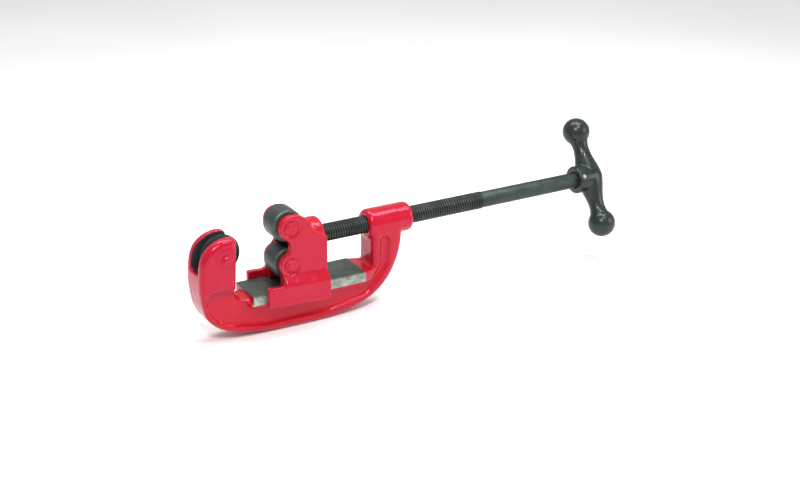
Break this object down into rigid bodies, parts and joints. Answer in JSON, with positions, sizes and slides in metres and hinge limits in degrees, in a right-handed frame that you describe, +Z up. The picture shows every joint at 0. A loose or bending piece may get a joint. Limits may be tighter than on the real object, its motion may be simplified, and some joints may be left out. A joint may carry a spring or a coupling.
{
  "type": "pipe_cutter",
  "caption": "Heavy screw-feed pipe cutter: red cast C frame, cutting wheel in the hook, guide rollers on a carriage that slides on machined ways, long feed screw and black cross handle.",
  "frame": {"origin": "where the pipe meets the cutting wheel: the front of the wheel's edge, on the feed screw's axis, in the middle plane", "axes": "+X along the feed screw towards the cross handle, +Y along the pipe towards the tool's far side, +Z up, from the ways towards the rollers"},
  "size_m": [0.4292, 0.0748, 0.1305],
  "materials": {
    "casting_paint": "gloss",
    "pin_paint": "gloss",
    "wheel_steel": "satin",
    "roller_steel": "satin",
    "screw_steel": "satin",
    "handle_black": "satin",
    "pin_steel": "satin",
    "clip_steel": "satin",
    "washer_brass": "satin"
  },
  "bodies": {
    "frame_body": {"frame": "casting_paint", "wheel_pin": "pin_paint", "wheel_pin_clip": "clip_steel"},
    "wheel_body": {"cutter_wheel": "wheel_steel"},
    "carriage_body": {"carriage": "casting_paint", "upper_roller_pin": "pin_paint", "lower_roller_pin": "pin_paint", "upper_roller_clip": "clip_steel", "lower_roller_clip": "clip_steel", "thrust_washer": "washer_brass", "near_keeper_pin": "pin_steel", "far_keeper_pin": "pin_steel"},
    "upper_roller_body": {"upper_roller": "roller_steel"},
    "lower_roller_body": {"lower_roller": "roller_steel"},
    "screw_body": {"feed_screw": "screw_steel", "t_handle": "handle_black", "handle_cross_pin": "pin_steel"}
  },
  "joints": [
    {"name": "wheel_spin", "type": "hinge", "parent": "frame_body", "child": "wheel_body", "pos_m": [-0.0182, 0, 0], "axis": [0, 1, 0], "continuous": true},
    {"name": "carriage_slide", "type": "slide", "parent": "frame_body", "child": "carriage_body", "axis": [1, 0, 0], "range_m": [-0.031, 0.0352]},
    {"name": "upper_roller_spin", "type": "hinge", "parent": "carriage_body", "child": "upper_roller_body", "pos_m": [0.0414, 0, 0.0172], "axis": [0, 1, 0], "continuous": true},
    {"name": "lower_roller_spin", "type": "hinge", "parent": "carriage_body", "child": "lower_roller_body", "pos_m": [0.0414, 0, -0.0172], "axis": [0, 1, 0], "continuous": true},
    {"name": "screw_turn", "type": "hinge", "parent": "carriage_body", "child": "screw_body", "pos_m": [0, 0, 0], "axis": [1, 0, 0], "range_deg": [-4428, 5040]}
  ],
  "couplings": [
    {"joint": "carriage_slide", "follows": "screw_turn", "m_per_rad": 0.00039789}
  ]
}
